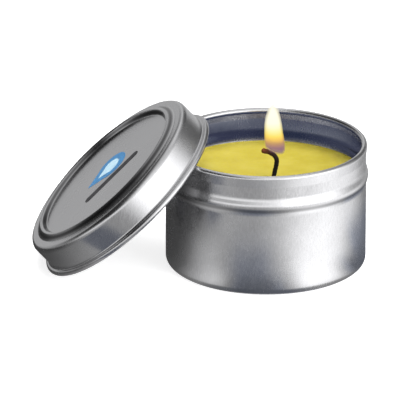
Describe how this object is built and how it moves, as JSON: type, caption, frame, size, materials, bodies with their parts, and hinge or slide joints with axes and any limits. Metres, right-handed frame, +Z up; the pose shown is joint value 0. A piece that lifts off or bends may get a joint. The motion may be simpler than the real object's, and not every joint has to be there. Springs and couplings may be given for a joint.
{
  "type": "candle tin",
  "caption": "Round tinplate tin with a bead and rolled rim, filled with wax around a curled wick, and a slip lid leaning on the rim.",
  "frame": {"origin": "centre of the face the tin stands on, on the tin's axis", "axes": "+Z up along the tin's axis; the lid leans on the -X side, so -X points from the tin to the lid; +Y completes the frame"},
  "size_m": [0.1089, 0.0704, 0.053],
  "materials": {
    "tinplate_body": "satin tinplate",
    "tinplate_lid": "satin tinplate",
    "wax": "smooth wax, slightly translucent",
    "charred_wick": "braided cotton, charred above the wax",
    "sustainer_steel": "plain stamped steel",
    "sticker_foam": "foam sticker",
    "print_blue": "printing ink",
    "print_light": "printing ink",
    "print_black": "printing ink",
    "flame": "glowing flame, visual model only"
  },
  "bodies": {
    "tin": {"tin_body": "tinplate_body", "wax_fill": "wax", "wick": "charred_wick", "wick_sustainer": "sustainer_steel", "wick_sticker": "sticker_foam"},
    "lid": {"lid": "tinplate_lid", "lid_drop": "print_blue", "lid_drop_light": "print_light", "lid_bar": "print_black"}
  },
  "joints": [
    {"name": "lid_lift", "type": "slide", "parent": "tin", "child": "lid", "axis": [0, 0, 1], "range_m": [0, 0.06]}
  ]
}
